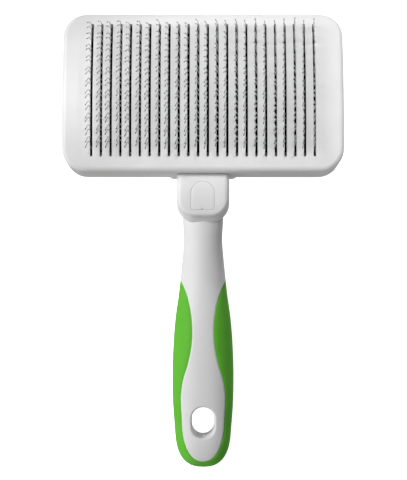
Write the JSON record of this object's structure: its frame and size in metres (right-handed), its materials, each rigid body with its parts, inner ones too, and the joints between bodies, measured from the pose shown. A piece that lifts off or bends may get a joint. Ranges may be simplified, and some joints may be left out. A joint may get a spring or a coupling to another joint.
{
  "type": "slicker brush",
  "caption": "Self-cleaning pet slicker brush: wide slotted head with rows of bent wire pins, push button on the back, oval handle with soft side grips and a hanging hole.",
  "frame": {"origin": "centre of the brush's footprint, on the surface it lies on: the push button's back face is at Z = 0", "axes": "X across the head, +Y along the brush from the handle's end to the head's top edge, +Z the way the pins point"},
  "size_m": [0.12, 0.1949, 0.0513],
  "materials": {
    "white_shell": "satin white ABS",
    "white_rear": "satin white ABS",
    "board_plastic": "moulded light grey plastic",
    "cushion_rubber": "soft black rubber",
    "inner_plastic": "moulded light grey plastic",
    "button_plastic": "green plastic",
    "spring_wire": "spring wire",
    "screw_steel": "zinc plated screws",
    "white_handle": "satin white ABS",
    "white_cap": "satin white ABS",
    "grip_rubber": "green soft-touch overmould",
    "pin_wire": "polished wire with dull tips"
  },
  "bodies": {
    "handle": {"rear_shell": "white_rear", "pin_board": "board_plastic", "pin_cushion": "cushion_rubber", "board_screws": "screw_steel", "handle_front_half": "white_handle", "handle_rear_half": "white_handle", "grip": "grip_rubber", "neck_cap": "white_cap", "screw_plug": "white_cap", "neck_screw": "screw_steel", "handle_screws": "screw_steel", "pin_row_01": "pin_wire", "pin_row_02": "pin_wire", "pin_row_03": "pin_wire", "pin_row_04": "pin_wire", "pin_row_05": "pin_wire", "pin_row_06": "pin_wire", "pin_row_07": "pin_wire", "pin_row_08": "pin_wire", "pin_row_09": "pin_wire", "pin_row_10": "pin_wire", "pin_row_11": "pin_wire", "pin_row_12": "pin_wire", "pin_row_13": "pin_wire", "pin_row_14": "pin_wire", "pin_row_15": "pin_wire", "pin_row_16": "pin_wire", "pin_row_17": "pin_wire", "pin_row_18": "pin_wire", "pin_row_19": "pin_wire", "pin_row_20": "pin_wire", "pin_row_21": "pin_wire", "pin_row_22": "pin_wire", "pin_row_23": "pin_wire", "pin_row_24": "pin_wire"},
    "cleaner": {"face_shell": "white_shell", "pusher_plate": "inner_plastic", "push_button": "button_plastic", "post_screws": "screw_steel", "button_screws": "screw_steel", "return_spring_left": "spring_wire", "return_spring_right": "spring_wire"}
  },
  "joints": [
    {"name": "cleaning_slide", "type": "slide", "parent": "handle", "child": "cleaner", "axis": [0, 0, 1], "range_m": [0, 0.01], "stiffness_N_per_m": 1000, "springref_m": -0.008, "deforming": ["return_spring_left", "return_spring_right"]}
  ]
}
